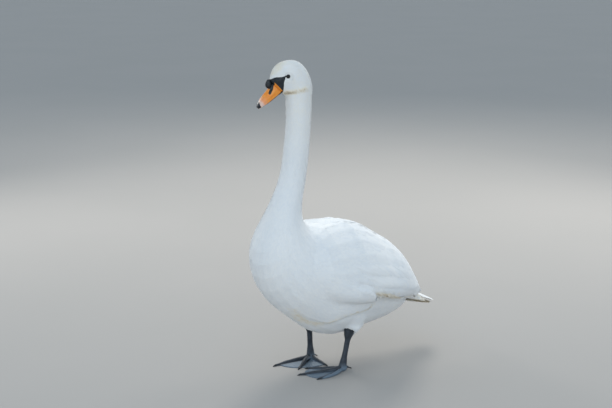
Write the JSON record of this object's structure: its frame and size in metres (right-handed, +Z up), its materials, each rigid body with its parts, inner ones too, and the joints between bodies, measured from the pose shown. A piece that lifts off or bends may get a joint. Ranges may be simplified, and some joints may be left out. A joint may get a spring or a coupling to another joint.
{
  "type": "mute swan",
  "caption": "Life-size still model of an adult mute swan standing on webbed feet, neck upright and head turned slightly to its right.",
  "frame": {"origin": "on the floor, under the middle of the bird's bounding box", "axes": "+Z up, -Y the way the bird's body faces, +X to the bird's left"},
  "size_m": [0.335, 0.7148, 0.9565],
  "materials": {
    "plumage": "white contour feathers, faintly cream on the lower neck and flank edges",
    "bill": "smooth orange bill skin, pinker and paler towards the tip",
    "horn": "smooth black horn and bare black skin",
    "eye": "wet, very dark brown",
    "leg": "blue-black scaly skin, greyer on the webs"
  },
  "bodies": {
    "root": {"trunk": "plumage", "neck_lower": "plumage", "neck_middle": "plumage", "neck_upper": "plumage", "head": "plumage", "wing_left": "plumage", "wing_right": "plumage", "tail": "plumage", "shank_left": "plumage", "shank_right": "plumage", "bill_upper": "bill", "bill_lower": "horn", "bill_nail": "horn", "bill_knob": "horn", "eye_left": "eye", "eye_right": "eye", "tarsus_left": "leg", "tarsus_right": "leg", "foot_left": "leg", "foot_right": "leg", "claw_left_outer": "horn", "claw_left_middle": "horn", "claw_left_inner": "horn", "claw_left_hind": "horn", "claw_right_outer": "horn", "claw_right_middle": "horn", "claw_right_inner": "horn", "claw_right_hind": "horn"}
  },
  "joints": []
}
